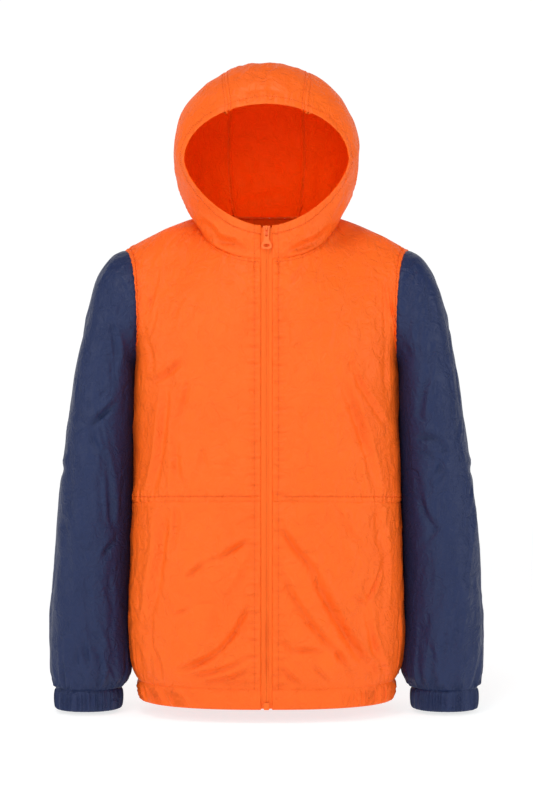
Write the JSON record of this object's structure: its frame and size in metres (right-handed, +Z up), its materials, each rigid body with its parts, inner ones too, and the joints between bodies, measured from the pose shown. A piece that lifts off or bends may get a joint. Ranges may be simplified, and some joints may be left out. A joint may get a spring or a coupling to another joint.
{
  "type": "hooded windbreaker jacket, filled out, held by its wearer",
  "caption": "Hooded windbreaker with a full-length front zip, long sleeves in a second colour, elastic cuffs and hem, filled out as worn.",
  "frame": {"origin": "the wearer mount: midway between the two neck points of the shoulder seams, where the jacket hangs on its wearer", "axes": "+Z up along the wearer's height, -Y the front of the jacket, +X the viewer's right when the front is seen, which is the wearer's left"},
  "size_m": [0.612, 0.2515, 0.9105],
  "materials": {
    "orange_shell": "thin crinkled woven nylon with a soft sheen",
    "navy_shell": "thin crinkled woven nylon with a soft sheen",
    "zip_tape": "woven polyester tape with a nylon coil",
    "zip_metal": "satin lacquer"
  },
  "bodies": {
    "jacket": {"front_upper_left": "orange_shell", "front_upper_right": "orange_shell", "front_lower_left": "orange_shell", "front_lower_right": "orange_shell", "back": "orange_shell", "hem_band": "orange_shell", "hood_left": "orange_shell", "hood_center": "orange_shell", "hood_right": "orange_shell", "sleeve_left": "navy_shell", "sleeve_right": "navy_shell", "cuff_left": "navy_shell", "cuff_right": "navy_shell", "zip_tape_left": "zip_tape", "zip_tape_right": "zip_tape", "zip_slider": "zip_metal", "zip_box": "zip_metal"},
    "pull_tab": {"zip_pull": "zip_metal"}
  },
  "joints": [
    {"name": "pull_tab_hinge", "type": "hinge", "parent": "jacket", "child": "pull_tab", "pos_m": [0, -0.09844, -0.02424], "axis": [-1, 0, 0], "range_deg": [0, 160]}
  ]
}
